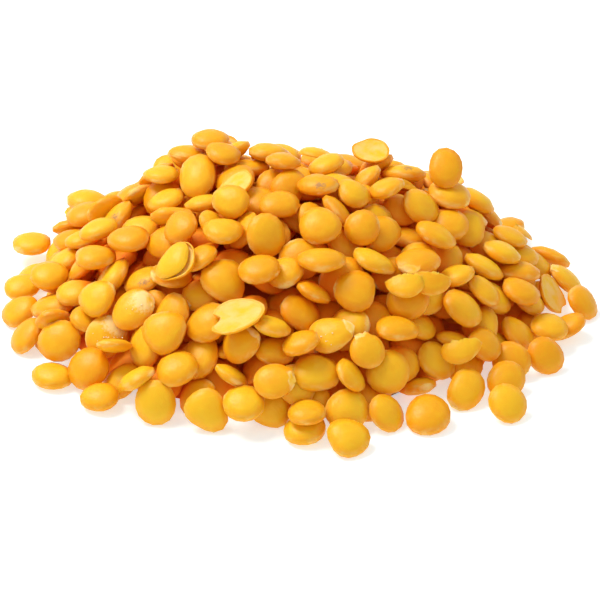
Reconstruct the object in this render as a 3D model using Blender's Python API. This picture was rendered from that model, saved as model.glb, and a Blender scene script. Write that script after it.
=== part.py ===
"""A heap of dry yellow lentils, poured out loose on a table.

Metres, +Z up. The origin is on the table under the middle of the heap, +X runs along its width
and -Y is its front. The lentils are laid down one by one, each where the heap is still furthest
below its mound, and each slides and tips until it rests on those below. Those that show are then
fused to a solid core, with few sides each and the size of the real ones.
"""

import math

import bmesh
import bpy
import numpy as np
from mathutils import Quaternion, Vector
from mathutils.geometry import delaunay_2d_cdt

# The mound that the lentils fill: a low dome with a shoulder at the back on either side
HALF_WIDTH = 0.0352
HALF_DEPTH_FRONT = 0.0301
HALF_DEPTH_BACK = 0.0300
MOUND_HEIGHT = 0.0170
MOUND_POWER = 1.8
MOUND_CENTRE = (-0.0017, 0.0012)
SHOULDERS = (  # x, y, height, reach
    (-0.0115, 0.0120, 0.0024, 0.0063),
    (0.0172, 0.0100, 0.0030, 0.0055),
)
OUTLINE_WAVES = (  # waves round the rim, share of its radius, phase
    (3, 0.030, 0.7),
    (5, 0.022, 2.1),
    (8, 0.015, 0.0),
)

# One lentil: a lens, thickest in the middle
MEAN_DIAMETER = 0.0050
DIAMETER_SPREAD = (0.86, 1.10)
THICKNESS_SHARE = 0.43
THICKNESS_SPREAD = (0.92, 1.10)

# How a lentil comes to rest
SEED = 6
CELL = 0.0002
TRAY_HALF = 0.045
LAYERS_DEEP = 0.0056
CANDIDATE_SPOTS = 60
LEAST_SHORTFALL = 0.0008
MOST_PROUD = 0.0017
MOST_MISSES = 60
SLIDE_FRICTION = 0.62
TILT_DRAG = 0.00012
FIRST_SLIDE = 0.0005
FIRST_TILT = 0.30
STEP_DECAY = 0.55
TYPICAL_LEAN = 0.45

# Lentils placed by hand: x, y, lean as a slope, the lean's direction in degrees, diameter.
# Those at the foot are laid before the others, and those on top after them.
LAID_AT_FOOT = (
    (-0.0291, -0.0172, 0.12, 250, 0.0048),
    (-0.0285, -0.0135, 0.90, 250, 0.0052),
    (-0.0165, -0.0252, 1.60, 268, 0.0050),
    (-0.0106, -0.0267, 1.60, 275, 0.0050),
    (-0.0063, -0.0270, 0.35, 265, 0.0049),
    (0.0006, -0.0289, 0.10, 240, 0.0050),
    (0.0053, -0.0312, 0.50, 285, 0.0050),
    (0.0146, -0.0262, 0.30, 262, 0.0054),
    (0.0192, -0.0214, 0.90, 280, 0.0048),
    (0.0240, -0.0192, 0.80, 285, 0.0048),
    (0.0238, -0.0243, 0.85, 290, 0.0047),
    (0.0291, -0.0140, 1.20, 290, 0.0046),
    (-0.0345, -0.0028, 0.70, 215, 0.0048),
    (0.0350, -0.0010, 1.00, 330, 0.0046),
    (-0.0338, 0.0070, 0.50, 180, 0.0048),
    (-0.0030, -0.0256, 0.60, 262, 0.0046),
)
LAID_ON_TOP = (
    (-0.0112, 0.0110, 0.05, 0, 0.0048),
    (0.0089, 0.0100, 0.30, 280, 0.0046),
    (0.0179, 0.0050, 0.90, 270, 0.0048),
)

# The solid: a core through the middles of the lentils that show, and lenses with few sides
MOST_FUSED = 228
LEAST_SHOWN_AREA = 3.0e-6
RIM_POINTS = 96
RIM_REACH = 0.0024
RIM_BEYOND_MIDDLES = 0.0004
RIM_LEAST_SHARE = 0.88
RIM_HEIGHT = 0.0005
LENS_SIDES = 6
FLAT_SHARE = 0.60
FLAT_HEIGHT = 0.86
SAME_AREA_AS_ROUND = 1.09
SUNK_INTO_CONTACT = 0.00012
TABLE_CLEARANCE = 0.00005


def outline_waves(turn):
    """How far the rim lies in or out of a plain oval in this direction."""
    return 1 + sum(share * np.sin(waves * turn + phase) for waves, share, phase in OUTLINE_WAVES)


def share_of_outline(x, y):
    """How far out a point on the table lies, as a share of the way to the mound's rim."""
    across, along = x - MOUND_CENTRE[0], y - MOUND_CENTRE[1]
    depth = np.where(along < 0, HALF_DEPTH_FRONT, HALF_DEPTH_BACK)
    return np.hypot(across / HALF_WIDTH, along / depth) / outline_waves(np.arctan2(y, x))


def mound(x, y):
    """Height of the mound over the table, negative outside its rim."""
    height = MOUND_HEIGHT * (1 - share_of_outline(x, y) ** MOUND_POWER)
    for shoulder_x, shoulder_y, rise, reach in SHOULDERS:
        distance = np.hypot(x - shoulder_x, y - shoulder_y)
        height = height + rise * np.exp(-(distance**2) / (2 * reach**2))
    return height


def face_directions(poses):
    """Unit normals of lentils at poses of x, y, lean to +X and lean to +Y."""
    along = np.stack([poses[:, 2], poses[:, 3], np.ones(len(poses))], 1)
    return along / np.sqrt((along**2).sum(1))[:, None]


def lens_heights(dx, dy, faces, radius, half_thickness):
    """Lowest and highest height of tilted lenses over the offsets from their centres."""
    flat = 1 / radius**2
    extra = 1 / half_thickness**2 - flat
    nx, ny, nz = (faces[:, axis, None, None] for axis in range(3))
    across = nx * dx + ny * dy
    a = flat + extra * nz**2
    b = extra * nz * across
    c = flat * (dx**2 + dy**2) + extra * across**2 - 1
    under_root = b**2 - a * c
    inside = under_root > 0
    root = np.sqrt(np.where(inside, under_root, 0))
    return np.where(inside, (-b - root) / a, np.inf), np.where(inside, (-b + root) / a, -np.inf)


def step_directions():
    """Unit steps in x, y and the two leans, eight slides and eight tilts."""
    eighths = [math.pi / 4 * turn for turn in range(8)]
    slides = [(math.cos(turn), math.sin(turn), 0, 0) for turn in eighths]
    tilts = [(0, 0, math.cos(turn), math.sin(turn)) for turn in eighths]
    return np.array(slides + tilts)


class Tray:
    """A height map of the heap as it grows, and the lentils laid so far."""

    def __init__(self):
        self.axis = np.arange(-TRAY_HALF, TRAY_HALF, CELL)
        x, y = np.meshgrid(self.axis, self.axis, indexing="ij")
        self.mound = mound(x, y)
        self.height = np.maximum(self.mound - LAYERS_DEEP, 0.0)
        self.owner = np.full(self.height.shape, -1)
        self.lentils = []
        self.directions = step_directions()

    def cell(self, value):
        return int(math.floor((value + TRAY_HALF) / CELL))

    def window(self, x, y, radius):
        reach = radius + 2 * FIRST_SLIDE
        count = int(2 * reach / CELL) + 2
        i, j = self.cell(x - reach), self.cell(y - reach)
        return slice(i, i + count), slice(j, j + count)

    def offsets(self, poses, window):
        dx = self.axis[window[0]][None, :, None] - poses[:, 0, None, None]
        dy = self.axis[window[1]][None, None, :] - poses[:, 1, None, None]
        return dx, dy

    def rest_heights(self, poses, radius, half_thickness, window):
        """Height of the centre at which a lentil in each pose touches what is below it."""
        faces = face_directions(poses)
        low, _ = lens_heights(*self.offsets(poses, window), faces, radius, half_thickness)
        return (self.height[window][None] - low).reshape(len(poses), -1).max(1)

    def settle(self, pose, radius, half_thickness, moves):
        """Slides and tips a lentil downhill by ever smaller steps, against friction."""
        window = self.window(pose[0], pose[1], radius)
        rest = self.rest_heights(pose[None], radius, half_thickness, window)[0]
        slide, tilt = FIRST_SLIDE, FIRST_TILT
        for _ in range(moves):
            steps = self.directions * np.array([slide, slide, tilt, tilt])
            tries = pose + steps
            heights = self.rest_heights(tries, radius, half_thickness, window)
            drag = SLIDE_FRICTION * np.hypot(steps[:, 0], steps[:, 1])
            cost = heights + drag + TILT_DRAG * np.hypot(steps[:, 2], steps[:, 3])
            best = int(cost.argmin())
            if cost[best] < rest:
                pose, rest = tries[best], heights[best]
                window = self.window(pose[0], pose[1], radius)
            else:
                slide *= STEP_DECAY
                tilt *= STEP_DECAY
        return pose, rest

    def lay(self, pose, rest, radius, half_thickness):
        """Adds a lentil at rest to the height map."""
        window = self.window(pose[0], pose[1], radius)
        face = face_directions(pose[None])
        _, top = lens_heights(*self.offsets(pose[None], window), face, radius, half_thickness)
        top = top[0] + rest
        higher = top > self.height[window]
        self.height[window] = np.where(higher, top, self.height[window])
        self.owner[window] = np.where(higher, len(self.lentils), self.owner[window])
        self.lentils.append((Vector((*pose[:2], rest)), Vector(face[0]), radius, half_thickness))

    def lay_by_hand(self, places):
        for x, y, lean, direction, diameter in places:
            turn, radius = math.radians(direction), diameter / 2
            half_thickness = radius * THICKNESS_SHARE
            pose = np.array([x, y, lean * math.cos(turn), lean * math.sin(turn)])
            window = self.window(x, y, radius)
            rest = self.rest_heights(pose[None], radius, half_thickness, window)[0]
            self.lay(pose, rest, radius, half_thickness)

    def shortfall(self, x, y):
        """How far the heap is below its mound round a spot, or -1 outside the rim."""
        near = int(0.001 / CELL)
        i, j = self.cell(x), self.cell(y)
        if self.mound[i, j] <= 0:
            return -1
        around = self.height[i - near : i + near + 1, j - near : j + near + 1]
        return self.mound[i, j] - around.mean()


def pour():
    """Lays the foot by hand, fills the mound lentil by lentil, and lays the top by hand."""
    rng = np.random.default_rng(SEED)
    tray = Tray()
    tray.lay_by_hand(LAID_AT_FOOT)
    widest = HALF_WIDTH * 1.1
    misses = 0
    while misses < MOST_MISSES:
        spots = rng.uniform(-widest, widest, (CANDIDATE_SPOTS, 2))
        radius = MEAN_DIAMETER / 2 * rng.uniform(*DIAMETER_SPREAD)
        half_thickness = radius * THICKNESS_SHARE * rng.uniform(*THICKNESS_SPREAD)
        turn, lean = rng.uniform(0, 2 * math.pi), abs(rng.normal(0, TYPICAL_LEAN))
        moves = int(rng.integers(5, 16))
        shortfalls = [tray.shortfall(x, y) for x, y in spots]
        lowest = int(np.argmax(shortfalls))
        if shortfalls[lowest] < LEAST_SHORTFALL:
            misses += 1
            continue
        pose = np.array([*spots[lowest], lean * math.cos(turn), lean * math.sin(turn)])
        pose, rest = tray.settle(pose, radius, half_thickness, moves)
        if rest > mound(pose[0], pose[1]) + MOST_PROUD:
            misses += 0.34
            continue
        misses = 0
        tray.lay(pose, rest, radius, half_thickness)
    tray.lay_by_hand(LAID_ON_TOP)
    return tray


def lentils_that_show(tray):
    """Those with the largest share of the heap's surface, its slope taken into account."""
    rise_x, rise_y = np.gradient(np.maximum(tray.mound, 0), CELL)
    area = CELL**2 * np.sqrt(1 + rise_x**2 + rise_y**2)
    owned = tray.owner >= 0
    shown = np.bincount(tray.owner[owned], weights=area[owned], minlength=len(tray.lentils))
    order = np.argsort(-shown, kind="stable")[:MOST_FUSED]
    return [tray.lentils[number] for number in sorted(order) if shown[number] > LEAST_SHOWN_AREA]


def clear_scene():
    for obj in list(bpy.data.objects):
        bpy.data.objects.remove(obj, do_unlink=True)


def new_collection(name):
    collection = bpy.data.collections.new(name)
    bpy.context.scene.collection.children.link(collection)
    return collection


def lentil_material():
    material = bpy.data.materials.new("dry_lentil")
    material.use_nodes = True
    shader = material.node_tree.nodes["Principled BSDF"]
    shader.inputs["Base Color"].default_value = (0.83, 0.42, 0.035, 1)
    shader.inputs["Roughness"].default_value = 0.5
    shader.inputs["Metallic"].default_value = 0
    return material


def few_sided_lens():
    """A flat-topped lens of radius 1 and half thickness 1, to be scaled to each lentil."""
    mesh = bpy.data.meshes.new("lentil")
    bm = bmesh.new()
    bmesh.ops.create_uvsphere(bm, u_segments=LENS_SIDES, v_segments=4, radius=1)
    poles = [vert for vert in bm.verts if abs(vert.co.z) > 0.9]
    bmesh.ops.dissolve_verts(bm, verts=poles)
    for vert in bm.verts:
        if abs(vert.co.z) > 0.1:
            vert.co.xy = vert.co.xy.normalized() * FLAT_SHARE
            vert.co.z = math.copysign(FLAT_HEIGHT, vert.co.z)
    bm.to_mesh(mesh)
    bm.free()
    return mesh


def core_rim(middles):
    """Points round the table just outside the middles of the outermost lentils."""
    turns = np.arctan2(middles[:, 1], middles[:, 0])
    distances = np.hypot(middles[:, 0], middles[:, 1])
    rim = []
    for turn in np.arange(RIM_POINTS) * 2 * math.pi / RIM_POINTS:
        aside = np.abs((turns - turn + math.pi) % (2 * math.pi) - math.pi) * distances
        reach = distances[aside < RIM_REACH].max() + RIM_BEYOND_MIDDLES
        out = Vector((math.cos(turn), math.sin(turn)))
        least = reach * RIM_LEAST_SHARE / float(share_of_outline(*(out * reach)))
        rim.append(out * max(reach, least))
    return rim


def core_object(shown, collection):
    """A solid with a flat underside, whose upper side passes through each lentil's middle."""
    middles = np.array([centre for centre, *_ in shown])
    rim = core_rim(middles)
    points = rim + [Vector(middle[:2]) for middle in middles]
    heights = [RIM_HEIGHT] * len(rim) + list(middles[:, 2])
    plan, _, triangles, sources, _, _ = delaunay_2d_cdt(points, [], [range(len(rim))], 1, 1e-6)
    mesh = bpy.data.meshes.new("lentil_heap")
    surface = [(*point, heights[source[0]]) for point, source in zip(plan, sources)]
    mesh.from_pydata(surface, [], triangles)
    bm = bmesh.new()
    bm.from_mesh(mesh)
    outside = [vert for vert in bm.verts if not vert.link_faces]
    bmesh.ops.delete(bm, geom=outside, context="VERTS")
    edge_of_surface = [edge for edge in bm.edges if edge.is_boundary]
    skirt = bmesh.ops.extrude_edge_only(bm, edges=edge_of_surface)["geom"]
    for vert in (item for item in skirt if isinstance(item, bmesh.types.BMVert)):
        vert.co.z = 0
    bmesh.ops.holes_fill(bm, edges=[edge for edge in bm.edges if edge.is_boundary], sides=0)
    bmesh.ops.recalc_face_normals(bm, faces=bm.faces[:])
    bm.to_mesh(mesh)
    bm.free()
    core = bpy.data.objects.new("lentil_heap", mesh)
    collection.objects.link(core)
    return core


def place_lens(mesh, number, lentil, collection):
    """One few-sided lentil at rest, kept a hair above the table."""
    centre, face, radius, half_thickness = lentil
    lens = bpy.data.objects.new("lentil", mesh)
    lens.rotation_mode = "QUATERNION"
    lens.rotation_quaternion = face.to_track_quat("Z", "Y") @ Quaternion((0, 0, 1), 2.4 * number)
    across = radius * SAME_AREA_AS_ROUND
    lens.scale = (across, across, half_thickness)
    lens.location = centre - Vector((0, 0, SUNK_INTO_CONTACT))
    collection.objects.link(lens)
    bpy.context.view_layer.update()
    lowest = min((lens.matrix_world @ vert.co).z for vert in mesh.vertices)
    lens.location.z += max(0.0, TABLE_CLEARANCE - lowest)


def fuse(core, collection):
    """Joins all the lentils to the core in one union."""
    union = core.modifiers.new("fused lentils", "BOOLEAN")
    union.operation = "UNION"
    union.operand_type = "COLLECTION"
    union.collection = collection
    graph = bpy.context.evaluated_depsgraph_get()
    fused = bpy.data.meshes.new_from_object(core.evaluated_get(graph))
    core.modifiers.clear()
    core.data = fused
    for obj in list(collection.objects):
        bpy.data.objects.remove(obj, do_unlink=True)
    bpy.data.collections.remove(collection)


def keep_largest_body(mesh):
    """Drops loose scraps and the walls of sealed hollows."""
    bm = bmesh.new()
    bm.from_mesh(mesh)
    bmesh.ops.triangulate(bm, faces=bm.faces[:])
    unseen = set(bm.verts)
    bodies = []
    while unseen:
        body, waiting = set(), [next(iter(unseen))]
        while waiting:
            vert = waiting.pop()
            if vert not in body:
                body.add(vert)
                waiting += [edge.other_vert(vert) for edge in vert.link_edges]
        unseen -= body
        bodies.append(body)
    bodies.sort(key=len)
    scraps = [vert for body in bodies[:-1] for vert in body]
    bmesh.ops.delete(bm, geom=scraps, context="VERTS")
    bm.to_mesh(mesh)
    bm.free()


def centre_on_box(obj):
    """Puts the origin under the middle of the heap's box."""
    corners = np.array([vert.co for vert in obj.data.vertices])
    middle = (corners.min(0) + corners.max(0)) / 2
    for vert in obj.data.vertices:
        vert.co -= Vector((middle[0], middle[1], 0))


def main():
    clear_scene()
    heap = new_collection("heap_of_dry_lentils")
    loose = new_collection("lentils_to_fuse")
    shown = lentils_that_show(pour())
    core = core_object(shown, heap)
    lens = few_sided_lens()
    for number, lentil in enumerate(shown):
        place_lens(lens, number, lentil, loose)
    fuse(core, loose)
    keep_largest_body(core.data)
    centre_on_box(core)
    core.data.materials.append(lentil_material())


if __name__ == "__main__":
    main()
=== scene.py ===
"""The looks of a heap of dry yellow lentils, poured out loose on a pale table.

The lentils are poured here once more, in the same way and with the same random draws as for the
solid. Then some that lean are turned more level, and the broken ones are laid among them. Metres,
+Z up, the heap's front towards -Y.
"""

import math

import bpy
import numpy as np
from mathutils import Matrix, Vector


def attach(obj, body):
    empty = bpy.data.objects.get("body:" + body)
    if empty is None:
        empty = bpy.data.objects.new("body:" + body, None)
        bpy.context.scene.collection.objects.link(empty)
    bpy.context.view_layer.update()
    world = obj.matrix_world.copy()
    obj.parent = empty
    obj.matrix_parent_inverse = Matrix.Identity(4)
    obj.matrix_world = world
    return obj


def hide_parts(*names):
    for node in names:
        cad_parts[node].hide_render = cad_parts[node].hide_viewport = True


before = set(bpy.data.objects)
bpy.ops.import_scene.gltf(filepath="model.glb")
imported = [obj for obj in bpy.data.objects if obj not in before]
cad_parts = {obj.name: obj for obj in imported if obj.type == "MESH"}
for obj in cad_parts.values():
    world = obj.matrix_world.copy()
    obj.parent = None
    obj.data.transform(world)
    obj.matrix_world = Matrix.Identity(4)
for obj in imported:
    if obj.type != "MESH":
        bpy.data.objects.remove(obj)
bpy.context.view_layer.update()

# The inside of the heap.
# In the real heap it is more lentils, two or three deep under those that can be seen. Here it is
# one low mound, two layers of lentils under the surface, seen in gaps only. Its deep orange is
# painted shade, the colour of the gaps, and it is painted darker still between its lumps.

HALF_WIDTH = 0.0352
HALF_DEPTH_FRONT = 0.0301
HALF_DEPTH_BACK = 0.0300
MOUND_HEIGHT = 0.0170
MOUND_POWER = 1.8
MOUND_CENTRE = (-0.0017, 0.0012)
SHOULDERS = ((-0.0115, 0.0120, 0.0024, 0.0063), (0.0172, 0.0100, 0.0030, 0.0055))
OUTLINE_WAVES = ((3, 0.030, 0.7), (5, 0.022, 2.1), (8, 0.015, 0.0))
LAYERS_DEEP = 0.0056
MIDDLE_OF_BOX = Vector((0.0000955, -0.0002281, 0))  # the pour's axis isn't quite in its middle
CORE_FLOOR = 0.0001


def outline_waves(turn):
    """How far the rim lies in or out of a plain oval in this direction."""
    return 1 + sum(share * np.sin(waves * turn + phase) for waves, share, phase in OUTLINE_WAVES)


def share_of_outline(x, y):
    """How far out a point on the table lies, as a share of the way to the mound's rim."""
    across, along = x - MOUND_CENTRE[0], y - MOUND_CENTRE[1]
    depth = np.where(along < 0, HALF_DEPTH_FRONT, HALF_DEPTH_BACK)
    return np.hypot(across / HALF_WIDTH, along / depth) / outline_waves(np.arctan2(y, x))


def mound(x, y):
    """Height of the mound over the table, negative outside its rim."""
    height = MOUND_HEIGHT * (1 - share_of_outline(x, y) ** MOUND_POWER)
    for shoulder_x, shoulder_y, rise, reach in SHOULDERS:
        distance = np.hypot(x - shoulder_x, y - shoulder_y)
        height = height + rise * np.exp(-(distance**2) / (2 * reach**2))
    return height


def select_only(*objs):
    """Selects these objects alone, the last one active."""
    bpy.ops.object.select_all(action="DESELECT")
    for obj in objs:
        obj.select_set(True)
    bpy.context.view_layer.objects.active = objs[-1]


def points_of(obj):
    """The places of a mesh's vertices, one row each."""
    flat = np.empty(len(obj.data.vertices) * 3, np.float32)
    obj.data.vertices.foreach_get("co", flat)
    return flat.reshape(-1, 3).astype(float)


def move_points(obj, points):
    obj.data.vertices.foreach_set("co", np.asarray(points, np.float32).ravel())
    obj.data.update()


def belongs_to_heap(piece):
    """The calls that each piece of the heap needs."""
    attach(piece, "root")
    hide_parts("lentil_heap")


class Socket:
    """A node's output that can be used in sums. Each sum adds its Math node."""

    def __init__(self, finish, output):
        self.finish, self.output = finish, output

    def math(self, operation, *values):
        settings = {"operation": operation}
        return self.finish.node("ShaderNodeMath", settings, dict(enumerate(values)))

    def __add__(self, other):
        return self.math("ADD", self, other)

    def __sub__(self, other):
        return self.math("SUBTRACT", self, other)

    def __rsub__(self, other):
        return self.math("SUBTRACT", other, self)

    def __mul__(self, other):
        return self.math("MULTIPLY", self, other)

    __radd__ = __add__
    __rmul__ = __mul__

    def from_to(self, low, high):
        """0 up to low, 1 from high on, and smooth between them."""
        inputs = {"Value": self, "From Min": low, "From Max": high}
        return self.finish.node("ShaderNodeMapRange", {"interpolation_type": "SMOOTHSTEP"}, inputs)


class Finish:
    """A material, with its nodes made by one method."""

    def __init__(self, name, **constants):
        self.material = bpy.data.materials.new(name)
        self.material.use_nodes = True
        self.nodes = self.material.node_tree.nodes
        self.links = self.material.node_tree.links
        self.shader = self.nodes["Principled BSDF"]
        for socket, value in constants.items():
            self.shader.inputs[socket.replace("_", " ")].default_value = value

    def node(self, kind, settings, inputs, output=0):
        made = self.nodes.new(kind)
        for name, value in settings.items():
            setattr(made, name, value)
        for name, value in inputs.items():
            self.feed(made.inputs[name], value)
        return Socket(self, made.outputs[output])

    def feed(self, socket, value):
        if isinstance(value, Socket):
            self.links.new(value.output, socket)
        else:
            socket.default_value = value

    def attribute(self, name, output="Fac"):
        return self.node("ShaderNodeAttribute", {"attribute_name": name}, {}, output)

    def vector_math(self, operation, *vectors, output="Value"):
        settings = {"operation": operation}
        return self.node("ShaderNodeVectorMath", settings, dict(enumerate(vectors)), output)

    def noise(self, place, scale, detail=2, number=0.0):
        settings = {"noise_dimensions": "4D"}
        inputs = {"Vector": place, "Scale": scale, "Detail": detail, "W": number}
        return self.node("ShaderNodeTexNoise", settings, inputs)

    def blend(self, share, first, second):
        """A colour between two others."""
        inputs = {"Factor": share, 6: first, 7: second}
        return self.node("ShaderNodeMix", {"data_type": "RGBA"}, inputs, 2)

    def bump(self, height, strength, distance, under=None):
        inputs = {"Height": height, "Strength": strength, "Distance": distance}
        if under is not None:
            inputs["Normal"] = under
        return self.node("ShaderNodeBump", {}, inputs)


# Painted shade: the deep orange that lentils show down in the gaps, darker still between lumps.
INSIDE_SHADE_ORANGE = (0.95, 0.22, 0.003, 1)
INSIDE_DEEPER_SHADE = (0.80, 0.12, 0.002, 1)
LUMPS_IN_A_METRE = 260.0
LUMP_HEIGHT = 0.001
BALL_CUT = 0.01  # share of the ball's radius that the underside lies over its middle


def inside_finish():
    finish = Finish("lentils_inside", Roughness=0.7)
    place = finish.node("ShaderNodeTexCoord", {}, {}, "Object")
    cells = finish.node("ShaderNodeTexVoronoi", {}, {"Vector": place, "Scale": LUMPS_IN_A_METRE})
    # Painted shade: darker towards the edge of each lump, where the lumps meet.
    colour = finish.blend(cells.from_to(0.2, 0.8), INSIDE_SHADE_ORANGE, INSIDE_DEEPER_SHADE)
    finish.feed(finish.shader.inputs["Base Color"], colour)
    finish.feed(finish.shader.inputs["Normal"], finish.bump(1 - cells, 0.8, LUMP_HEIGHT))
    return finish.material


bpy.ops.object.select_all(action="DESELECT")
bpy.ops.mesh.primitive_uv_sphere_add(segments=96, ring_count=48, radius=1)
inside = bpy.context.object
inside.name = inside.data.name = "heap_inside"
bpy.ops.object.mode_set(mode="EDIT")
bpy.ops.mesh.select_all(action="SELECT")
bpy.ops.mesh.bisect(
    plane_co=(0, 0, BALL_CUT), plane_no=(0, 0, 1), use_fill=True, clear_inner=True
)
bpy.ops.mesh.normals_make_consistent(inside=False)
bpy.ops.object.mode_set(mode="OBJECT")
points = points_of(inside)
turns = np.arctan2(points[:, 1], points[:, 0])
out = np.hypot(points[:, 0], points[:, 1])
shares = (1 - LAYERS_DEEP / MOUND_HEIGHT) ** (1 / MOUND_POWER) * out
rim = shares * outline_waves(turns)
points[:, 0] = MOUND_CENTRE[0] + HALF_WIDTH * rim * np.cos(turns)
side = np.where(np.sin(turns) < 0, HALF_DEPTH_FRONT, HALF_DEPTH_BACK)
points[:, 1] = MOUND_CENTRE[1] + side * rim * np.sin(turns)
under_lentils = mound(points[:, 0], points[:, 1]) - LAYERS_DEEP
underside = points[:, 2] < 2 * BALL_CUT
points[:, 2] = np.where(underside, CORE_FLOOR, np.maximum(under_lentils, CORE_FLOOR))
move_points(inside, points - np.array(MIDDLE_OF_BOX))
bpy.ops.object.shade_smooth()
inside.data.materials.append(inside_finish())
belongs_to_heap(inside)

# The whole lentils.
# Each is a dehulled seed: a lens 4.3 to 5.5 mm across, hard and dry, with a faint mark on its rim
# where the germ was. They are poured one by one and slide and tip until they rest on each other.

MEAN_DIAMETER = 0.0050
DIAMETER_SPREAD = (0.86, 1.10)
THICKNESS_SHARE = 0.43
THICKNESS_SPREAD = (0.92, 1.10)
SEED = 6
CELL = 0.0002
TRAY_HALF = 0.045
CANDIDATE_SPOTS = 60
LEAST_SHORTFALL = 0.0008
MOST_PROUD = 0.0017
SPOT_REACH = 0.001
MOST_MISSES = 60
TOO_PROUD_COUNTS = 0.34  # as this share of a miss
FEWEST_MOVES, MOST_MOVES = 5, 16
SLIDE_FRICTION = 0.62
TILT_DRAG = 0.00012
FIRST_SLIDE = 0.0005
FIRST_TILT = 0.30
STEP_DECAY = 0.55
TYPICAL_LEAN = 0.45
NEIGHBOUR_REACH = 1.6 * MEAN_DIAMETER
LIE_REACH, LIE_STRIDE = 12, 3  # in cells of the height map

# Laid one by one: x, y, lean as a slope, the lean's direction in degrees, diameter
LAID_AT_FOOT = (
    (-0.0291, -0.0172, 0.12, 250, 0.0048),
    (-0.0285, -0.0135, 0.90, 250, 0.0052),
    (-0.0165, -0.0252, 1.60, 268, 0.0050),
    (-0.0106, -0.0267, 1.60, 275, 0.0050),
    (-0.0063, -0.0270, 0.35, 265, 0.0049),
    (0.0006, -0.0289, 0.10, 240, 0.0050),
    (0.0053, -0.0312, 0.50, 285, 0.0050),
    (0.0146, -0.0262, 0.30, 262, 0.0054),
    (0.0192, -0.0214, 0.90, 280, 0.0048),
    (0.0240, -0.0192, 0.80, 285, 0.0048),
    (0.0238, -0.0243, 0.85, 290, 0.0047),
    (0.0291, -0.0140, 1.20, 290, 0.0046),
    (-0.0345, -0.0028, 0.70, 215, 0.0048),
    (0.0350, -0.0010, 1.00, 330, 0.0046),
    (-0.0338, 0.0070, 0.50, 180, 0.0048),
    (-0.0030, -0.0256, 0.60, 262, 0.0046),
)
LAID_ON_TOP = (
    (-0.0112, 0.0110, 0.05, 0, 0.0048),
    (0.0089, 0.0100, 0.30, 280, 0.0046),
    (0.0179, 0.0050, 0.90, 270, 0.0048),
)


def face_directions(poses):
    """Unit normals of lentils at poses of x, y, lean to +X and lean to +Y."""
    along = np.stack([poses[:, 2], poses[:, 3], np.ones(len(poses))], 1)
    return along / np.sqrt((along**2).sum(1))[:, None]


def lens_heights(dx, dy, faces, radius, half_thickness):
    """Lowest and highest height of tilted lenses over the offsets from their centres."""
    flat = 1 / radius**2
    extra = 1 / half_thickness**2 - flat
    nx, ny, nz = (faces[:, axis, None, None] for axis in range(3))
    across = nx * dx + ny * dy
    a = flat + extra * nz**2
    b = extra * nz * across
    c = flat * (dx**2 + dy**2) + extra * across**2 - 1
    under_root = b**2 - a * c
    inside_lens = under_root > 0
    root = np.sqrt(np.where(inside_lens, under_root, 0))
    low = np.where(inside_lens, (-b - root) / a, np.inf)
    return low, np.where(inside_lens, (-b + root) / a, -np.inf)


def step_directions():
    """Unit steps in x, y and the two leans, eight slides and eight tilts."""
    eighths = [math.pi / 4 * turn for turn in range(8)]
    slides = [(math.cos(turn), math.sin(turn), 0, 0) for turn in eighths]
    tilts = [(0, 0, math.cos(turn), math.sin(turn)) for turn in eighths]
    return np.array(slides + tilts)


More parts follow.
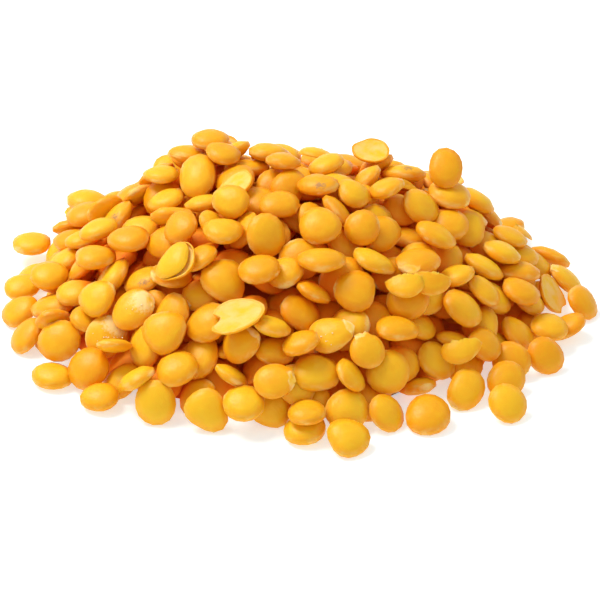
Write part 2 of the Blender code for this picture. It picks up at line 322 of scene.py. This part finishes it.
class Tray:
    """A height map of the heap as it grows, and the lentils laid so far."""

    def __init__(self):
        self.axis = np.arange(-TRAY_HALF, TRAY_HALF, CELL)
        x, y = np.meshgrid(self.axis, self.axis, indexing="ij")
        self.mound = mound(x, y)
        self.height = np.maximum(self.mound - LAYERS_DEEP, 0.0)
        self.owner = np.full(self.height.shape, -1)
        self.lentils = []
        self.directions = step_directions()

    def cell(self, value):
        return int(math.floor((value + TRAY_HALF) / CELL))

    def window(self, x, y, radius):
        reach = radius + 2 * FIRST_SLIDE
        count = int(2 * reach / CELL) + 2
        i, j = self.cell(x - reach), self.cell(y - reach)
        return slice(i, i + count), slice(j, j + count)

    def offsets(self, poses, window):
        dx = self.axis[window[0]][None, :, None] - poses[:, 0, None, None]
        dy = self.axis[window[1]][None, None, :] - poses[:, 1, None, None]
        return dx, dy

    def rest_heights(self, poses, radius, half_thickness, window):
        """Height of the centre at which a lentil in each pose touches what is below it."""
        faces = face_directions(poses)
        low, _ = lens_heights(*self.offsets(poses, window), faces, radius, half_thickness)
        return (self.height[window][None] - low).reshape(len(poses), -1).max(1)

    def settle(self, pose, radius, half_thickness, moves):
        """Slides and tips a lentil downhill by ever smaller steps, against friction."""
        window = self.window(pose[0], pose[1], radius)
        rest = self.rest_heights(pose[None], radius, half_thickness, window)[0]
        slide, tilt = FIRST_SLIDE, FIRST_TILT
        for _ in range(moves):
            steps = self.directions * np.array([slide, slide, tilt, tilt])
            tries = pose + steps
            heights = self.rest_heights(tries, radius, half_thickness, window)
            drag = SLIDE_FRICTION * np.hypot(steps[:, 0], steps[:, 1])
            cost = heights + drag + TILT_DRAG * np.hypot(steps[:, 2], steps[:, 3])
            best = int(cost.argmin())
            if cost[best] < rest:
                pose, rest = tries[best], heights[best]
                window = self.window(pose[0], pose[1], radius)
            else:
                slide *= STEP_DECAY
                tilt *= STEP_DECAY
        return pose, rest

    def lay(self, pose, rest, radius, half_thickness):
        """Adds a lentil at rest to the height map."""
        window = self.window(pose[0], pose[1], radius)
        face = face_directions(pose[None])
        _, top = lens_heights(*self.offsets(pose[None], window), face, radius, half_thickness)
        top = top[0] + rest
        higher = top > self.height[window]
        self.height[window] = np.where(higher, top, self.height[window])
        self.owner[window] = np.where(higher, len(self.lentils), self.owner[window])
        self.lentils.append((Vector((*pose[:2], rest)), Vector(face[0]), radius, half_thickness))

    def show(self, number, window):
        """Raises the height map in a window to the top of a lentil."""
        centre, face, radius, half_thickness = self.lentils[number]
        offsets = self.offsets(np.array([centre]), window)
        _, top = lens_heights(*offsets, np.array([face]), radius, half_thickness)
        top = top[0] + centre.z
        higher = top > self.height[window]
        self.height[window] = np.where(higher, top, self.height[window])
        self.owner[window] = np.where(higher, number, self.owner[window])

    def take_out(self, number):
        """Lowers the height map to what lies under and beside a lentil."""
        centre, _, radius, _ = self.lentils[number]
        window = self.window(centre.x, centre.y, radius)
        self.height[window] = np.maximum(self.mound[window] - LAYERS_DEEP, 0.0)
        self.owner[window] = -1
        for other, lentil in enumerate(self.lentils):
            if other != number and (lentil[0] - centre).xy.length < NEIGHBOUR_REACH:
                self.show(other, window)

    def lay_by_hand(self, places):
        for x, y, lean, direction, diameter in places:
            turn, radius = math.radians(direction), diameter / 2
            half_thickness = radius * THICKNESS_SHARE
            pose = np.array([x, y, lean * math.cos(turn), lean * math.sin(turn)])
            window = self.window(x, y, radius)
            rest = self.rest_heights(pose[None], radius, half_thickness, window)[0]
            self.lay(pose, rest, radius, half_thickness)

    def shortfall(self, x, y):
        """How far the heap is below its mound round a spot, or -1 outside the rim."""
        near = int(SPOT_REACH / CELL)
        i, j = self.cell(x), self.cell(y)
        if self.mound[i, j] <= 0:
            return -1
        around = self.height[i - near : i + near + 1, j - near : j + near + 1]
        return self.mound[i, j] - around.mean()

    def owner_at(self, x, y):
        """The lentil on top at a spot."""
        return int(self.owner[self.cell(x), self.cell(y)])

    def lie_of_the_heap(self):
        """Heights averaged over a few millimetres: a vertex far below them is in a gap."""
        offsets = range(-LIE_REACH, LIE_REACH + 1, LIE_STRIDE)
        near = [(i, j) for i in offsets for j in offsets if math.hypot(i, j) <= LIE_REACH]
        return sum(np.roll(self.height, offset, (0, 1)) for offset in near) / len(near)


def pour():
    """Lays the listed lentils at the foot, fills the mound lentil by lentil, and lays the listed
    top.
    """
    rng = np.random.default_rng(SEED)
    tray = Tray()
    tray.lay_by_hand(LAID_AT_FOOT)
    widest = HALF_WIDTH * 1.1
    misses = 0
    while misses < MOST_MISSES:
        spots = rng.uniform(-widest, widest, (CANDIDATE_SPOTS, 2))
        radius = MEAN_DIAMETER / 2 * rng.uniform(*DIAMETER_SPREAD)
        half_thickness = radius * THICKNESS_SHARE * rng.uniform(*THICKNESS_SPREAD)
        turn, lean = rng.uniform(0, 2 * math.pi), abs(rng.normal(0, TYPICAL_LEAN))
        moves = int(rng.integers(FEWEST_MOVES, MOST_MOVES))
        shortfalls = [tray.shortfall(x, y) for x, y in spots]
        lowest = int(np.argmax(shortfalls))
        if shortfalls[lowest] < LEAST_SHORTFALL:
            misses += 1
            continue
        pose = np.array([*spots[lowest], lean * math.cos(turn), lean * math.sin(turn)])
        pose, rest = tray.settle(pose, radius, half_thickness, moves)
        if rest > mound(pose[0], pose[1]) + MOST_PROUD:
            misses += TOO_PROUD_COUNTS
            continue
        misses = 0
        tray.lay(pose, rest, radius, half_thickness)
    tray.lay_by_hand(LAID_ON_TOP)
    return tray


TURNING_SEED = 19
SHARE_TURNED_FLAT = 0.6
LEVEL_ENOUGH = 0.93  # the upright part of a face's direction
SEEN_AT_ALL = 100  # in cells of the height map
POSES_TRIED = 16
NEW_LEAN = 0.22
NEW_SHIFT = 0.0003
MOST_RAISED = 0.0007


def turn_some_flat(tray):
    """Turns leaning lentils nearly level, one at a time, where they still lie low enough then."""
    rng = np.random.default_rng(TURNING_SEED)
    seen = np.bincount(tray.owner[tray.owner >= 0], minlength=len(tray.lentils))
    last_poured = len(tray.lentils) - len(LAID_ON_TOP)
    for number in rng.permutation(np.arange(len(LAID_AT_FOOT), last_poured)):
        centre, face, radius, half_thickness = tray.lentils[number]
        if seen[number] < SEEN_AT_ALL or face.z > LEVEL_ENOUGH:
            continue
        if rng.uniform() > SHARE_TURNED_FLAT:
            continue
        tray.take_out(number)
        turns = rng.uniform(0, 2 * math.pi, POSES_TRIED)
        leans = abs(rng.normal(0, NEW_LEAN, POSES_TRIED))
        spots = np.array([centre.x, centre.y]) + rng.normal(0, NEW_SHIFT, (POSES_TRIED, 2))
        poses = np.stack([*spots.T, leans * np.cos(turns), leans * np.sin(turns)], 1)
        window = tray.window(centre.x, centre.y, radius)
        rests = tray.rest_heights(poses, radius, half_thickness, window)
        best = int(rests.argmin())
        if rests[best] < centre.z + MOST_RAISED:
            centre = Vector((*poses[best, :2], rests[best]))
            face = Vector(face_directions(poses[best : best + 1])[0])
            tray.lentils[number] = (centre, face, radius, half_thickness)
        tray.show(number, window)


# Seen only through a gap at the front: x, y, lean, direction, diameter
UNDER_THE_FRONT = (
    (-0.0032, -0.0258, 1.30, 275, 0.0046),
    (-0.0005, -0.0246, 0.80, 290, 0.0047),
)

tray = pour()
turn_some_flat(tray)
lie = tray.lie_of_the_heap()
under = Tray()
under.lay_by_hand(UNDER_THE_FRONT)
tray.lentils += under.lentils

# Where the odd lentils of the photograph lie, as spots on the table under them
SPLIT_SPOTS = ((-0.0078, 0.0000), (0.0310, -0.0014), (0.0088, 0.0100))
CHIPPED_SPOTS = (
    (-0.0234, -0.0146),
    (-0.0198, -0.0134),
    (-0.0126, -0.0142),
    (0.0034, -0.0202),
    (0.0074, -0.0220),
    (-0.0070, -0.0210),
    (-0.0030, -0.0256),
    (0.0140, -0.0098),
)
VERY_FLOURY = 2  # this many of the chipped ones, the first
COATED_SPOTS = ((0.0020, -0.0008), (-0.0190, -0.0088), (-0.0228, 0.0048))
# More of them behind, on the side that the photograph doesn't show
LOOKS_SEED = 41
MORE_SPLIT, MORE_BROKEN, MORE_CHIPPED, MORE_COATED = 7, 6, 12, 4
BEHIND_THE_TOP = 0.004
TOP_OF_HEAP = 0.0165
WELL_SEEN = 200  # in cells of the height map


def numbers_at(spots):
    """The lentils that lie on top at these spots."""
    return [tray.owner_at(x, y) for x, y in spots]


looks = np.random.default_rng(LOOKS_SEED)
split_numbers = numbers_at(SPLIT_SPOTS)
chipped_numbers = numbers_at(CHIPPED_SPOTS)
coated_numbers = numbers_at(COATED_SPOTS)
seen = np.bincount(tray.owner[tray.owner >= 0], minlength=len(tray.lentils))
taken = {*split_numbers, *chipped_numbers, *coated_numbers}
plain_numbers = [
    number
    for number in looks.permutation(len(tray.lentils))
    if seen[number] > WELL_SEEN and number not in taken
    if tray.lentils[number][0].y > BEHIND_THE_TOP and tray.lentils[number][0].z < TOP_OF_HEAP
]


def take_plain(count):
    """The next plain lentils behind, each taken once."""
    taken_now = plain_numbers[:count]
    del plain_numbers[:count]
    return taken_now


split_numbers += take_plain(MORE_SPLIT)
broken_numbers = take_plain(MORE_BROKEN)
chipped_numbers += take_plain(MORE_CHIPPED)
coated_numbers += take_plain(MORE_COATED)

RIM_SHARPNESS = 1.15
UNEVEN = 0.06
HALF_SWELL = (0.88, 1.06)  # each half's thickness, as a share of the mean
UPWARD = 0.3


def add_lens(name, sides=16, rings=5):
    """A lens of radius 1 and half thickness 1, to be copied and scaled to each lentil."""
    bpy.ops.object.select_all(action="DESELECT")
    bpy.ops.mesh.primitive_uv_sphere_add(segments=sides, ring_count=rings, radius=1)
    lens = bpy.context.object
    lens.name = name
    rim = math.cos(math.pi / (2 * rings))  # an odd number of rings has no vertices on the equator
    points = points_of(lens) / np.array([rim, rim, 1])
    points[:, 2] = np.sign(points[:, 2]) * np.abs(points[:, 2]) ** RIM_SHARPNESS
    move_points(lens, points)
    return lens


def set_attribute(obj, name, values, kind="FLOAT"):
    made = obj.data.attributes.get(name) or obj.data.attributes.new(name, kind, "POINT")
    values = np.asarray(values, np.float32).ravel()
    made.data.foreach_set("value" if kind == "FLOAT" else "vector", values)


def any_way():
    """A random direction, raised a little."""
    turn = looks.uniform(0, 2 * math.pi)
    return Vector((math.cos(turn), math.sin(turn), UPWARD))


def uneven_lens(points):
    """No seed is quite round: it is a little oval, lopsided, flattened on one side and bent."""
    turn = np.arctan2(points[:, 1], points[:, 0])
    out = np.hypot(points[:, 0], points[:, 1])
    phases = looks.uniform(0, 2 * math.pi, 3)
    oval, lopsided, flattened, bent = looks.normal(0, 1, 4) * UNEVEN
    rim = 1 + oval * np.cos(2 * turn + phases[0]) + 0.5 * lopsided * np.cos(3 * turn + phases[1])
    flat_side = np.clip(np.cos(turn - phases[2]), 0, 1) ** 4
    rim = rim - (0.02 + abs(flattened)) * flat_side + 0.03 * np.clip(np.cos(turn), 0, 1) ** 8
    shaped = points * np.stack([rim, rim, np.ones(len(points))], 1)
    shaped[:, 2] += bent * (out**2) * np.cos(turn - phases[1]) * 1.6
    shaped[:, 2] *= np.where(points[:, 2] > 0, *looks.uniform(*HALF_SWELL, 2))
    return shaped


def lens_axes(face, towards):
    """Turns a lens so that its face points along face, and its germ towards the second."""
    across = (towards - towards.dot(face) * face).normalized()
    return Matrix((across, face.cross(across), face)).transposed()


def depth_in_heap(points):
    """How far below the others a vertex lies, less so at the foot, which is lit from the side."""
    cells = np.floor((points[:, :2] + TRAY_HALF) / CELL).astype(int)
    top = lie[cells[:, 0], cells[:, 1]]
    return (top - points[:, 2]) * np.clip((top - 0.002) / 0.006, 0, 1)


def lay_copy(pattern, lentil, towards, germ, coat, shape=uneven_lens):
    """A copy of a pattern, made uneven and laid where the lentil came to rest."""
    centre, face, radius, half_thickness = lentil
    copy = pattern.copy()
    copy.data = pattern.data.copy()
    bpy.context.scene.collection.objects.link(copy)
    points = points_of(copy)
    set_attribute(copy, "lens", points, "FLOAT_VECTOR")
    points = shape(points) * np.array([radius, radius, half_thickness])
    points = points @ np.array(lens_axes(face, towards)).T + np.array(centre)
    points[:, 2] += max(0.0, -points[:, 2].min())
    count = len(points)
    set_attribute(copy, "depth", depth_in_heap(points))
    set_attribute(copy, "tone", np.full(count, looks.uniform()))
    set_attribute(copy, "germ", np.full(count, germ))
    set_attribute(copy, "coat", np.full(count, coat))
    move_points(copy, points - np.array(MIDDLE_OF_BOX))
    return copy


def joined(copies, pattern, name):
    """Joins the copies of a pattern into one piece."""
    bpy.data.objects.remove(pattern, do_unlink=True)
    select_only(*copies)
    if len(copies) > 1:
        bpy.ops.object.join()
    piece = bpy.context.object
    piece.name = piece.data.name = name
    return piece


GOLD = (0.84, 0.358, 0.003, 1)
PALE_GOLD = (0.91, 0.515, 0.014, 1)
# Painted shade, put on the rims and on what lies deep in the gaps.
GAP_SHADE_ORANGE = (0.97, 0.27, 0.002, 1)
CREAM = (0.93, 0.65, 0.22, 1)
FLOUR = (0.94, 0.74, 0.34, 1)
HUSK = (0.33, 0.17, 0.10, 1)
GERM_PLACE = (1.0, 0.0, 0.0)  # on a lens of radius 1
COAT_PLACE = (0.55, 0.1, 0.6)
TONES = 83.0  # far enough apart that no two lentils share their mottling


def lentil_finish(name, bare_colour=None):
    """Dry seed flesh: satin and mottled, pale at the rim from wear and painted highlight, with
    painted deep orange shade in the gaps.
    """
    finish = Finish(
        name,
        Specular_IOR_Level=0.24,
        Subsurface_Weight=0.35,
        Subsurface_Radius=(1.0, 0.45, 0.08),
        Subsurface_Scale=0.0009,
    )
    lens = finish.attribute("lens", "Vector")
    tone = finish.attribute("tone")
    number = tone * TONES
    mottling = finish.noise(lens, 1.7, 3, number)
    grain = finish.noise(lens, 9.0, 4, number)
    from_germ = finish.vector_math("DISTANCE", lens, GERM_PLACE)
    from_coat = finish.vector_math("DISTANCE", lens, COAT_PLACE)
    flattened = finish.vector_math("MULTIPLY", lens, (1, 1, 0), output="Vector")
    out = finish.vector_math("LENGTH", flattened)
    # Pale patches round the rim: partly wear, partly painted highlight.
    rim_wear_and_highlight = out.from_to(0.78, 1.02) * mottling.from_to(0.46, 0.72)
    colour = finish.blend((tone * 0.7 + mottling * 0.8 - 0.25).from_to(0.0, 1.0), GOLD, PALE_GOLD)
    # Painted shade: a deeper orange towards the rim.
    colour = finish.blend(out.from_to(0.60, 1.0) * 0.35, colour, GAP_SHADE_ORANGE)
    colour = finish.blend(rim_wear_and_highlight * 0.5, colour, CREAM)
    # Painted shade: deep orange on what lies down in the gaps between the others.
    gap_shade = (finish.attribute("depth") + (mottling - 0.5) * 0.0006).from_to(0.0004, 0.0032)
    colour = finish.blend(gap_shade, colour, GAP_SHADE_ORANGE)
    germ = (finish.attribute("germ") - from_germ + (grain - 0.5) * 0.5).from_to(-0.10, 0.20)
    colour = finish.blend(germ * 0.8, colour, CREAM)
    coat = (finish.attribute("coat") - from_coat + (grain - 0.5) * 0.7).from_to(-0.04, 0.24)
    colour = finish.blend(coat * 0.75, colour, FLOUR if bare_colour else HUSK)
    rough = 0.40 + (grain - 0.5) * 0.16 + germ * 0.3 + coat * 0.2 + gap_shade * 0.3
    if bare_colour:
        bare = (finish.attribute("bare") + (grain - 0.5) * 0.7).from_to(0.25, 0.85)
        chalky = finish.blend(mottling.from_to(0.35, 0.70), bare_colour, PALE_GOLD)
        colour = finish.blend(bare, colour, chalky)
        rough = rough + bare * 0.3
    dents = finish.bump(mottling, 0.45, 0.0003)
    skin = finish.bump(grain, 0.22, 0.00008, dents)
    finish.feed(finish.shader.inputs["Base Color"], colour)
    finish.feed(finish.shader.inputs["Roughness"], rough)
    finish.feed(finish.shader.inputs["Normal"], skin)
    return finish.material


odd = {*split_numbers, *broken_numbers, *chipped_numbers}
TO_THE_FRONT = Vector((0, -1, UPWARD))
LEAST_GERM, MOST_GERM = -0.25, 0.48  # radius of the pale mark, none below 0
COAT = 0.34
pattern = add_lens("lens")
copies = []
for number, lentil in enumerate(tray.lentils):
    towards = any_way()
    germ = max(0.0, looks.uniform(LEAST_GERM, MOST_GERM))
    coat = COAT if number in coated_numbers else 0.0
    if number in odd:
        continue
    if coat:
        towards = TO_THE_FRONT
    copies.append(lay_copy(pattern, lentil, towards, germ, coat))
whole_lentils = joined(copies, pattern, "whole_lentils")
bpy.ops.object.shade_smooth()
whole_lentils.data.materials.append(lentil_finish("whole_lentil"))
belongs_to_heap(whole_lentils)

# The split lentils.
# A lentil is two halves that the germ holds together, and knocks part them. The face that was
# inside is flat, pale and dull, a little hollow within a low edge. They lie on the others.

BARE = (0.92, 0.58, 0.15, 1)
SHARP_EDGE = math.radians(40)
SLOPE_REACH = 0.002  # over which the heap's slope is taken

# On a lens of radius 1 and half thickness 1
SPLIT_PLACE, UPWARDS = (0, 0, 0.06), (0, 0, 1)
EDGE_WIDTH = 0.05
HOLLOW = 0.06
RAGGED_EDGE = 0.012
BIG_BITE = (0.42, 0.36, 1.14)  # depth, width, and how much longer than wide the half is
BITE_DEPTHS, BITE_WIDTHS = (0.05, 0.30), (0.3, 0.5)

BIG_SPLIT = (-0.0074, -0.0201, 0.0060)  # x, y, diameter
BIG_GERM = 0.30


def select_faces(wanted):
    """Selects the faces of the mesh in edit mode that the test wants, and no others."""
    bpy.ops.mesh.select_all(action="DESELECT")
    bpy.ops.object.mode_set(mode="OBJECT")
    for face in bpy.context.object.data.polygons:
        face.select = wanted(face)
    bpy.ops.object.mode_set(mode="EDIT")


def cut_lens(name, place, towards, edge, hollow):
    """A lens with what lies beyond a plane broken off, and the new face sunk within an edge."""
    lens = add_lens(name, 28, 9)
    bpy.ops.object.mode_set(mode="EDIT")
    bpy.ops.mesh.select_all(action="SELECT")
    bpy.ops.mesh.bisect(plane_co=place, plane_no=towards, use_fill=True, clear_outer=True)
    bpy.ops.mesh.select_mode(type="FACE")
    bpy.ops.mesh.normals_make_consistent(inside=False)
    direction = Vector(towards).normalized()
    select_faces(lambda face: face.normal.dot(direction) > 0.999 and len(face.vertices) > 5)
    if edge:
        bpy.ops.mesh.inset(thickness=edge, depth=0)
        bpy.ops.mesh.inset(thickness=2 * edge, depth=-hollow)
    bpy.ops.mesh.poke()
    bpy.ops.object.mode_set(mode="OBJECT")
    broken = np.array([vert.select for vert in lens.data.vertices], float)
    set_attribute(lens, "bare", broken)
    return lens


def finish_broken(piece, name, bare_colour):
    """Smooths a piece up to its sharp edges and gives it its finish."""
    bpy.ops.object.shade_smooth_by_angle(angle=SHARP_EDGE)
    piece.data.materials.append(lentil_finish(name, bare_colour))
    belongs_to_heap(piece)


def laid_last(x, y, diameter, moves=4, leaning=1.0):
    """A lentil laid on the heap's slope, or more level, and tipped until it rests on the others."""
    lean_x = float(mound(x - SLOPE_REACH, y) - mound(x + SLOPE_REACH, y)) / (2 * SLOPE_REACH)
    lean_y = float(mound(x, y - SLOPE_REACH) - mound(x, y + SLOPE_REACH)) / (2 * SLOPE_REACH)
    radius, half_thickness = diameter / 2, diameter / 2 * THICKNESS_SHARE
    pose = np.array([x, y, lean_x * leaning, lean_y * leaning])
    pose, rest = tray.settle(pose, radius, half_thickness, moves)
    return Vector((*pose[:2], rest)), Vector(face_directions(pose[None])[0]), radius, half_thickness


def by_place(points, values):
    """Hands out random values by place, because a cut leaves the vertices in no fixed order."""
    handed_out = np.empty_like(values)
    handed_out[np.lexsort(np.round(points, 3).T)] = values
    return handed_out


def bitten_lens(depth, width, stretch=1.0):
    """Gives a shape that is uneven as the others, with a piece of its thin edge broken out."""

    def shape(points):
        turn = np.arctan2(points[:, 1], points[:, 0])
        bite = depth * np.exp(-((np.abs(turn) / width) ** 4))
        ragged = by_place(points, looks.normal(0, RAGGED_EDGE, len(points)))
        across = 1 - (bite + ragged) * np.hypot(points[:, 0], points[:, 1]) ** 2
        sides = np.stack([across * stretch, across / stretch, np.ones(len(points))], 1)
        return uneven_lens(points) * sides

    return shape


pattern = cut_lens("half", SPLIT_PLACE, UPWARDS, EDGE_WIDTH, HOLLOW)
big_one = laid_last(*BIG_SPLIT)
to_the_left = Vector((-1, 0, 0.1))
copies = [lay_copy(pattern, big_one, to_the_left, BIG_GERM, 0.0, bitten_lens(*BIG_BITE))]
for number in split_numbers:
    towards = any_way()
    shape = bitten_lens(looks.uniform(*BITE_DEPTHS), looks.uniform(*BITE_WIDTHS))
    copies.append(lay_copy(pattern, tray.lentils[number], towards, 0.0, 0.0, shape))
split_lentils = joined(copies, pattern, "split_lentils")
finish_broken(split_lentils, "split_lentil", BARE)

# The broken halves.
# A half that was knocked again breaks across, and leaves a thin flake with one ragged side. Such
# flakes lie nearly level with their round side up, so that mostly their edges show.

BROKEN_SIDE = (0.92, 0.51, 0.05, 1)
FLAKE_PLACES = ((0.0123, -0.0139), (0.0154, -0.0132), (0.0189, -0.0173))
FLAKE_DIAMETER = 0.0046
FLAKE_MOVES, FLAKE_LEANING = 3, 0.2
RAGGED_BREAK = 0.03
BREAK_PLACE, BREAK_TOWARDS = (0.15, 0, 0), (1, 0.25, 0.1)
BREAK_UPHILL = Vector((-0.3, 1, 0.3))
AT_THE_BREAK = -0.01  # vertices past this are on the broken side


def past_the_break(points):
    """How far points are past the plane of the break."""
    towards = np.array(Vector(BREAK_TOWARDS).normalized())
    return (points - np.array(BREAK_PLACE)) @ towards


def flake_shape(points):
    """Uneven as the others, with the broken side ragged."""
    ragged = past_the_break(points) > AT_THE_BREAK
    shaped = uneven_lens(points)
    return shaped + ragged[:, None] * by_place(points, looks.normal(0, RAGGED_BREAK, points.shape))


pattern = cut_lens("flake", SPLIT_PLACE, UPWARDS, EDGE_WIDTH, HOLLOW)
bpy.ops.object.mode_set(mode="EDIT")
bpy.ops.mesh.select_all(action="SELECT")
bpy.ops.mesh.bisect(
    plane_co=BREAK_PLACE, plane_no=BREAK_TOWARDS, use_fill=True, clear_outer=True
)
bpy.ops.mesh.select_all(action="SELECT")
bpy.ops.mesh.normals_make_consistent(inside=False)
bpy.ops.object.mode_set(mode="OBJECT")
points = points_of(pattern)
set_attribute(pattern, "bare", (points[:, 2] > 0) | (past_the_break(points) > AT_THE_BREAK))
copies = []
flakes = [laid_last(x, y, FLAKE_DIAMETER, FLAKE_MOVES, FLAKE_LEANING) for x, y in FLAKE_PLACES]
for lentil in flakes + [tray.lentils[number] for number in broken_numbers]:
    towards = any_way()
    if len(copies) < len(FLAKE_PLACES):
        towards = BREAK_UPHILL
    centre, face, radius, half_thickness = lentil
    turned_over = (centre, -face, radius, half_thickness)
    copies.append(lay_copy(pattern, turned_over, towards, 0.0, 0.0, flake_shape))
broken_halves = joined(copies, pattern, "broken_halves")
finish_broken(broken_halves, "broken_half", BROKEN_SIDE)

# The chipped lentils.
# Some seeds lost a flake at the rim when they were milled. The break is rough, floury and nearly
# white, and shows most where it faces up.

CHALK = (0.93, 0.68, 0.28, 1)
CHIP_PLACE, CHIP_TOWARDS = (0.93, 0, 0.22), (0.90, 0.10, 0.40)
CHIPPED_FROM = 0.65  # vertices farther out than this crumble
CRUMBLED = 0.025
LEAST_FLOUR, MOST_FLOUR = 0.30, 0.55
FLOURY_FACE, FLOURY_TOWARDS = 0.66, Vector((0.5, -0.3, 0.8))


def broken_lens(points):
    """Uneven as the others, with the break crumbled."""
    shaped = uneven_lens(points)
    broken = points[:, 0] > CHIPPED_FROM
    return shaped + broken[:, None] * by_place(points, looks.normal(0, CRUMBLED, points.shape))


pattern = cut_lens("chipped", CHIP_PLACE, CHIP_TOWARDS, 0, 0)
copies = []
for place, number in enumerate(chipped_numbers):
    towards = any_way()
    if place < len(CHIPPED_SPOTS):
        towards = Vector((looks.uniform(-1, 1), looks.uniform(-1, 0.3), 0.4))
    floury, face_flour = looks.uniform(LEAST_FLOUR, MOST_FLOUR), 0.0
    if place < VERY_FLOURY:
        towards, face_flour = FLOURY_TOWARDS, FLOURY_FACE
    lentil = tray.lentils[number]
    copies.append(lay_copy(pattern, lentil, towards, floury, face_flour, broken_lens))
chipped_lentils = joined(copies, pattern, "chipped_lentils")
finish_broken(chipped_lentils, "chipped_lentil", CHALK)

# The lentil that is coming apart.
# Its upper half has slid aside on the lower one, so that a thin crescent of the pale inside shows
# along one edge with a dark gap behind it.

BOWL_PLACE, BOWL_HOLLOW = (0, 0, 0.10), 0.34
LID_PLACE, LID_HOLLOW = (0, 0, -0.02), 0.02
LID_SIZE = (0.84, 0.94, 0.86)
LID_MOVED = (-0.20, 0.02, 0.10)
PEELING_PLACE = (-0.0139, -0.0124, 0.0051)  # x, y, diameter
PEELING_MOVES = 2
GAPES_TOWARDS = Vector((0.9, -0.5, 0.2))

bowl = cut_lens("bowl", BOWL_PLACE, UPWARDS, EDGE_WIDTH, BOWL_HOLLOW)
lid = cut_lens("lid", LID_PLACE, (0, 0, -1), EDGE_WIDTH, LID_HOLLOW)
bpy.ops.object.mode_set(mode="EDIT")
bpy.ops.mesh.select_all(action="SELECT")
bpy.ops.transform.resize(value=LID_SIZE)
bpy.ops.transform.translate(value=LID_MOVED)
bpy.ops.object.mode_set(mode="OBJECT")
set_attribute(lid, "bare", np.zeros(len(lid.data.vertices)))
select_only(lid, bowl)
bpy.ops.object.join()
lentil = laid_last(*PEELING_PLACE, PEELING_MOVES)
copies = [lay_copy(bowl, lentil, GAPES_TOWARDS, 0.0, 0.0)]
peeling_lentil = joined(copies, bowl, "peeling_lentil")
finish_broken(peeling_lentil, "peeling_lentil", BARE)

# The crumbs.
# Floury grains, a tenth to a quarter of a millimetre across, that rubbed off the broken seeds and
# stuck where they fell.

CRUMB_PLACES = ((-0.0229, -0.0150), (-0.0217, -0.0178), (-0.0196, -0.0145), (0.0035, -0.0215))
CRUMBS_AT_EACH = 6
CRUMB_RADIUS = 0.00008
CRUMB_SCATTER = 0.0006
FLOUR_WHITE = (0.97, 0.92, 0.74, 1)
SPECKS_IN_A_METRE = 4000
bpy.ops.object.select_all(action="DESELECT")
bpy.ops.mesh.primitive_ico_sphere_add(subdivisions=1, radius=CRUMB_RADIUS)
pattern = bpy.context.object
copies = []
for x, y in CRUMB_PLACES:
    for _ in range(CRUMBS_AT_EACH):
        crumb = pattern.copy()
        crumb.data = pattern.data.copy()
        bpy.context.scene.collection.objects.link(crumb)
        spot = np.array([x, y]) + looks.normal(0, CRUMB_SCATTER, 2)
        ground = tray.height[tray.cell(spot[0]), tray.cell(spot[1])]
        points = points_of(crumb) * looks.uniform(0.5, 1.5)
        points = points * looks.uniform(0.6, 1.2, points.shape)
        move_points(crumb, points + np.array([*spot, ground]) - np.array(MIDDLE_OF_BOX))
        copies.append(crumb)
crumbs = joined(copies, pattern, "crumbs")
flour = Finish("flour", Roughness=0.9, Subsurface_Weight=0.2, Subsurface_Scale=0.0003)
place = flour.node("ShaderNodeTexCoord", {}, {}, "Object")
flour_colour = flour.blend(flour.noise(place, SPECKS_IN_A_METRE), CHALK, FLOUR_WHITE)
flour.feed(flour.shader.inputs["Base Color"], flour_colour)
crumbs.data.materials.append(flour.material)
belongs_to_heap(crumbs)

# The table under the heap, not part of it.
# A plain matt white sheet. It is lit so brightly that only the heap's own soft shadows, warmed by
# the light that falls off the lentils, can be told from it.

TABLE_WHITE = (0.62, 0.70, 0.71, 1)
TABLE_SIZE = 6

bpy.ops.object.select_all(action="DESELECT")
bpy.ops.mesh.primitive_plane_add(size=TABLE_SIZE)
table = bpy.context.object
table.name = "table"
table_finish = Finish(
    "table",
    Base_Color=TABLE_WHITE,
    Roughness=0.85,
    Specular_IOR_Level=0.1,
    Emission_Color=(1, 1, 1, 1),
    Emission_Strength=0.50,
)
table.data.materials.append(table_finish.material)

# The studio's light and the camera.
# One large soft lamp stands high at the left and a little behind the heap, in a white room, and
# the camera looks down on the front from about 30 degrees above the table.

ROOM_LIGHT = 0.67
LAMP_PLACE = (-0.22, 0.10, 0.40)
LAMP_SIZE = 0.22
LAMP_WATTS = 1.8

world = bpy.data.worlds.new("white_room")
world.use_nodes = True
world.node_tree.nodes["Background"].inputs["Color"].default_value = (1, 1, 1, 1)
world.node_tree.nodes["Background"].inputs["Strength"].default_value = ROOM_LIGHT
bpy.context.scene.world = world

bpy.ops.object.light_add(type="AREA", location=LAMP_PLACE)
lamp = bpy.context.object
lamp.rotation_euler = (-lamp.location).to_track_quat("-Z", "Y").to_euler()
lamp.data.size = LAMP_SIZE
lamp.data.energy = LAMP_WATTS

CAMERA_ELEVATION = math.radians(29.5)
CAMERA_DISTANCE = 0.280
CAMERA_AIM = Vector((0, 0, 0.0016))
FILM_WIDTH, FOCAL_LENGTH = 36, 135.3  # in mm

aim = CAMERA_AIM - MIDDLE_OF_BOX
back = Vector((0, -math.cos(CAMERA_ELEVATION), math.sin(CAMERA_ELEVATION)))
bpy.ops.object.camera_add(
    location=aim + back * CAMERA_DISTANCE, rotation=(math.pi / 2 - CAMERA_ELEVATION, 0, 0)
)
camera = bpy.context.object
camera.data.sensor_width = FILM_WIDTH
camera.data.lens = FOCAL_LENGTH
bpy.context.scene.camera = camera
bpy.context.scene.view_settings.view_transform = "Standard"
